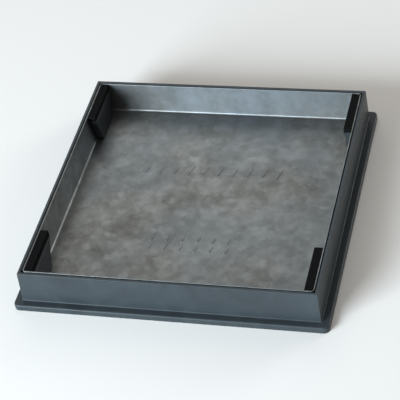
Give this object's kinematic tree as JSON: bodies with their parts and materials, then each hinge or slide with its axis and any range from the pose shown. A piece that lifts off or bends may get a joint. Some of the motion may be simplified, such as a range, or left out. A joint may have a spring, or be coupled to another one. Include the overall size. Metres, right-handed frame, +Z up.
{
  "type": "manhole cover",
  "caption": "Square recessed manhole cover: a galvanised steel tray for paving blocks, with capped lifting pockets in its corners, seated in a flanged plastic frame.",
  "frame": {"origin": "middle of the frame's bedding face, on the ground plane", "axes": "+Z up, +X to the right and +Y to the back, along the tray's sides"},
  "size_m": [0.44, 0.44, 0.059],
  "materials": {
    "frame": "moulded charcoal polypropylene, semi-matt",
    "seal": "extruded cellular rubber strip",
    "tray": "folded steel sheet, hot-dip galvanised",
    "stiffener": "folded steel sheet, hot-dip galvanised",
    "pocket": "moulded black polypropylene, satin",
    "cap": "moulded black polypropylene, matt",
    "eye": "bent round bar, zinc plated",
    "rivet": "blind rivets, plain"
  },
  "bodies": {
    "frame_body": {"frame": "frame", "frame_seal": "seal"},
    "tray_body": {"recess_tray": "tray", "pocket_rivets": "rivet", "floor_stiffener_1": "stiffener", "floor_stiffener_2": "stiffener", "floor_stiffener_3": "stiffener", "floor_stiffener_4": "stiffener", "key_pocket_front_left": "pocket", "lifting_eye_front_left": "eye", "key_pocket_front_right": "pocket", "lifting_eye_front_right": "eye", "key_pocket_back_left": "pocket", "lifting_eye_back_left": "eye", "key_pocket_back_right": "pocket", "lifting_eye_back_right": "eye"},
    "cap_front_left": {"pocket_cap_front_left": "cap"},
    "cap_front_right": {"pocket_cap_front_right": "cap"},
    "cap_back_left": {"pocket_cap_back_left": "cap"},
    "cap_back_right": {"pocket_cap_back_right": "cap"}
  },
  "joints": [
    {"name": "tray_lift", "type": "slide", "parent": "frame_body", "child": "tray_body", "axis": [0, 0, 1], "range_m": [0, 0.15]},
    {"name": "cap_pull_front_left", "type": "slide", "parent": "tray_body", "child": "cap_front_left", "axis": [0, 0, 1], "range_m": [0, 0.04]},
    {"name": "cap_pull_front_right", "type": "slide", "parent": "tray_body", "child": "cap_front_right", "axis": [0, 0, 1], "range_m": [0, 0.04]},
    {"name": "cap_pull_back_left", "type": "slide", "parent": "tray_body", "child": "cap_back_left", "axis": [0, 0, 1], "range_m": [0, 0.04]},
    {"name": "cap_pull_back_right", "type": "slide", "parent": "tray_body", "child": "cap_back_right", "axis": [0, 0, 1], "range_m": [0, 0.04]}
  ]
}
